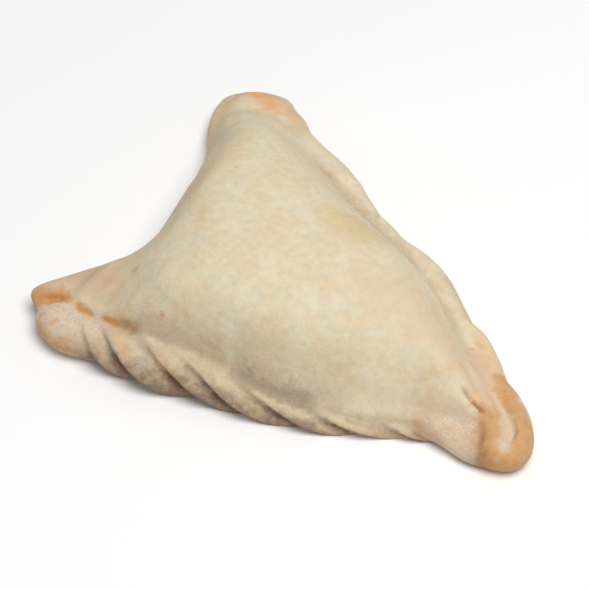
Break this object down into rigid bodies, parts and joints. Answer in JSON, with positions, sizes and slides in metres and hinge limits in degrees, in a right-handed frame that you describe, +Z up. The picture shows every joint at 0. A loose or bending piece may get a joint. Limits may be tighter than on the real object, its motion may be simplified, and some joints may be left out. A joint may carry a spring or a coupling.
{
  "type": "empanada",
  "caption": "Pale baked empanada: a plump triangular turnover with a rope crimp of slanted pleats, browned pinched corners and a flat underside.",
  "frame": {"origin": "middle of the footprint, on the flat underside", "axes": "+X towards the pinched right corner where the two crimped sides meet, -Y towards the front crimp, +Z up; X is the long way and Z the short way"},
  "size_m": [0.1334, 0.102, 0.0307],
  "materials": {
    "baked_dough": null
  },
  "bodies": {
    "root": {"empanada": "baked_dough"}
  },
  "joints": []
}
